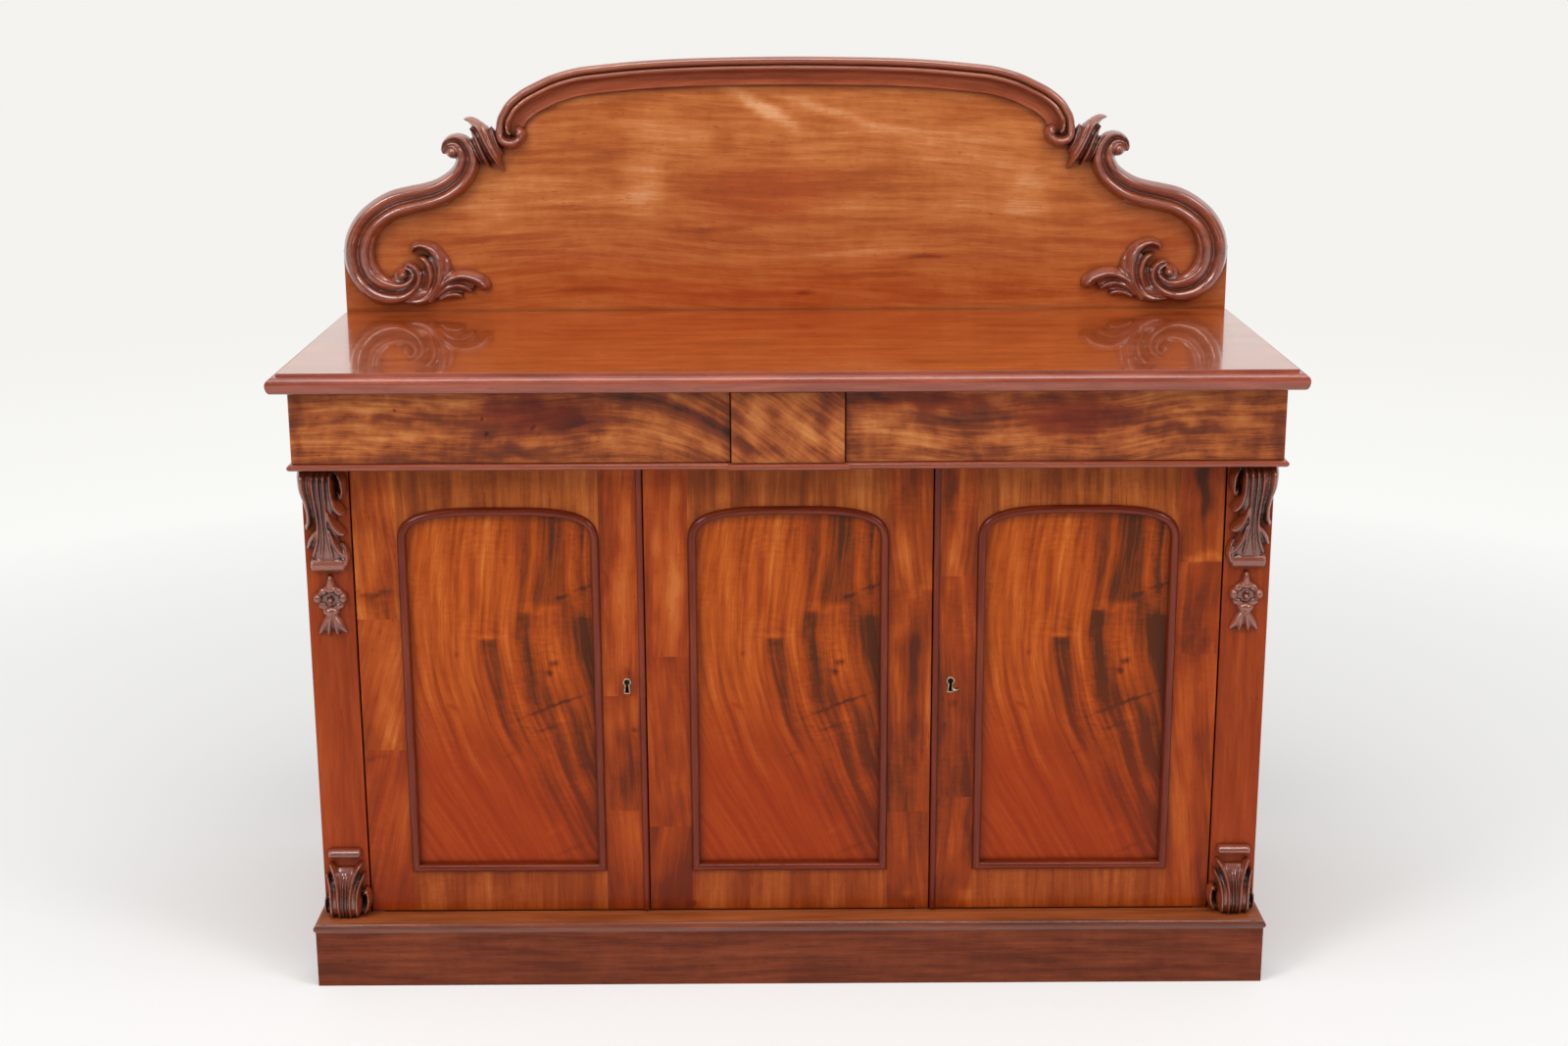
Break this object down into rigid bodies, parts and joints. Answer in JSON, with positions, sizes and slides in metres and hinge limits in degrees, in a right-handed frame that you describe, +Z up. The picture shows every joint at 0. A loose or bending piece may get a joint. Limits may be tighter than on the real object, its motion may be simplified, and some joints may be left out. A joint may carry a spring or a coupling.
{
  "type": "chiffonier",
  "caption": "Mahogany chiffonier: arched panel doors under frieze drawers, moulded work surface, plinth, carved pilasters and a serpentine splashback with scrolls.",
  "frame": {"origin": "on the floor under the middle of the piece, halfway between the front edge of the work surface and the back", "axes": "+Z up, the doors face -Y, +X to the right as the doors are looked at"},
  "size_m": [1.45, 0.578, 1.333],
  "materials": {
    "mahogany": "french polished, straight grain",
    "flame_veneer": "french polished flame veneer",
    "frieze_veneer": "french polished crotch veneer",
    "top_mahogany": "french polished, high gloss",
    "splash_mahogany": "french polished, straight grain",
    "dark_mahogany": "french polished, dark with age",
    "inner_wood": "unpolished",
    "brass": "worn",
    "steel": "dull"
  },
  "bodies": {
    "carcase": {"plinth": "dark_mahogany", "side_left": "mahogany", "side_right": "mahogany", "bottom_board": "inner_wood", "back_panel": "inner_wood", "partition": "inner_wood", "shelf_left": "inner_wood", "shelf_right": "inner_wood", "frieze_frame": "mahogany", "top_board": "top_mahogany", "splashback_board": "splash_mahogany", "arch_moulding": "dark_mahogany", "scroll_left": "dark_mahogany", "scroll_right": "dark_mahogany", "knot_leaf_left": "dark_mahogany", "knot_leaf_right": "dark_mahogany", "pilaster_left": "mahogany", "corbel_left": "dark_mahogany", "flower_drop_left": "dark_mahogany", "foot_scroll_left": "dark_mahogany", "pilaster_right": "mahogany", "corbel_right": "dark_mahogany", "flower_drop_right": "dark_mahogany", "foot_scroll_right": "dark_mahogany", "pivot_left_foot": "brass", "pivot_left_head": "brass", "pivot_centre_foot": "brass", "pivot_centre_head": "brass", "pivot_right_foot": "brass", "pivot_right_head": "brass"},
    "door_left": {"door_left_stile_left": "mahogany", "door_left_stile_right": "mahogany", "door_left_top_rail": "mahogany", "door_left_bottom_rail": "mahogany", "door_left_panel": "flame_veneer", "door_left_moulding": "dark_mahogany", "escutcheon_left": "brass", "lock_case_left": "steel"},
    "door_centre": {"door_centre_stile_left": "mahogany", "door_centre_stile_right": "mahogany", "door_centre_top_rail": "mahogany", "door_centre_bottom_rail": "mahogany", "door_centre_panel": "flame_veneer", "door_centre_moulding": "dark_mahogany"},
    "door_right": {"door_right_stile_left": "mahogany", "door_right_stile_right": "mahogany", "door_right_top_rail": "mahogany", "door_right_bottom_rail": "mahogany", "door_right_panel": "flame_veneer", "door_right_moulding": "dark_mahogany", "escutcheon_right": "brass", "lock_case_right": "steel"},
    "drawer_left": {"drawer_left_front": "frieze_veneer", "drawer_left_box": "inner_wood"},
    "drawer_centre": {"drawer_centre_front": "frieze_veneer", "drawer_centre_box": "inner_wood"},
    "drawer_right": {"drawer_right_front": "frieze_veneer", "drawer_right_box": "inner_wood"},
    "bolt_left": {"lock_bolt_left": "brass"},
    "bolt_right": {"lock_bolt_right": "brass"}
  },
  "joints": [
    {"name": "door_left_hinge", "type": "hinge", "parent": "carcase", "child": "door_left", "pos_m": [-0.6115, -0.223, 0.1], "axis": [0, 0, -1], "range_deg": [0, 90]},
    {"name": "door_centre_hinge", "type": "hinge", "parent": "carcase", "child": "door_centre", "pos_m": [0.194, -0.223, 0.1], "axis": [0, 0, 1], "range_deg": [0, 90]},
    {"name": "door_right_hinge", "type": "hinge", "parent": "carcase", "child": "door_right", "pos_m": [0.6115, -0.223, 0.1], "axis": [0, 0, 1], "range_deg": [0, 90]},
    {"name": "drawer_left_slide", "type": "slide", "parent": "carcase", "child": "drawer_left", "axis": [0, -1, 0], "range_m": [0, 0.38]},
    {"name": "drawer_centre_slide", "type": "slide", "parent": "carcase", "child": "drawer_centre", "axis": [0, -1, 0], "range_m": [0, 0.38]},
    {"name": "drawer_right_slide", "type": "slide", "parent": "carcase", "child": "drawer_right", "axis": [0, -1, 0], "range_m": [0, 0.38]},
    {"name": "bolt_left_slide", "type": "slide", "parent": "door_left", "child": "bolt_left", "axis": [1, 0, 0], "range_m": [0, 0.008]},
    {"name": "bolt_right_slide", "type": "slide", "parent": "door_right", "child": "bolt_right", "axis": [-1, 0, 0], "range_m": [0, 0.008]}
  ]
}
